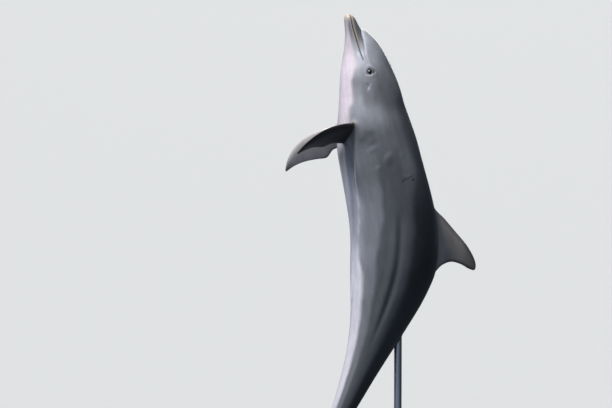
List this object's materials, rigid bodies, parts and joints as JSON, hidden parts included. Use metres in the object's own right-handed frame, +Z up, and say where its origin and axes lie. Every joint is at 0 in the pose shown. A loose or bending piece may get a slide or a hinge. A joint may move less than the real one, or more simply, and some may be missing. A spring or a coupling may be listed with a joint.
{
  "type": "bottlenose dolphin",
  "caption": "Life-size still model of a bottlenose dolphin rising upright, belly to one side and tail down, held on a flat oval base by rods under its tail stock and tail.",
  "frame": {"origin": "centre of the oval base's underside, on the floor", "axes": "+Z up; the belly faces -X, the back and dorsal fin +X, the animal's left side -Y and its right side +Y"},
  "size_m": [1.19, 0.9, 2.648],
  "materials": {
    "skin_back": "smooth dark grey skin, satin as when wet",
    "skin_flank": "smooth mid-grey skin, satin as when wet",
    "skin_belly": "smooth pinkish white skin, satin as when wet",
    "skin_fin": "smooth charcoal skin, satin as when wet",
    "eye": "glossy, near black",
    "stand_base": "satin charcoal paint",
    "stand_steel": "brushed"
  },
  "bodies": {
    "root": {"beak_upper": "skin_back", "beak_lower": "skin_belly", "head": "skin_flank", "neck": "skin_flank", "chest": "skin_flank", "trunk": "skin_flank", "loin": "skin_flank", "tail_stock": "skin_flank", "tail_end": "skin_flank", "dorsal_fin": "skin_back", "flipper_left": "skin_fin", "flipper_right": "skin_fin", "fluke_left": "skin_fin", "fluke_right": "skin_fin", "eye_left": "eye", "eye_right": "eye", "stand_base": "stand_base", "stand_rod_trunk": "stand_steel", "stand_collar_trunk": "stand_steel", "stand_rod_tail": "stand_steel", "stand_collar_tail": "stand_steel"}
  },
  "joints": []
}
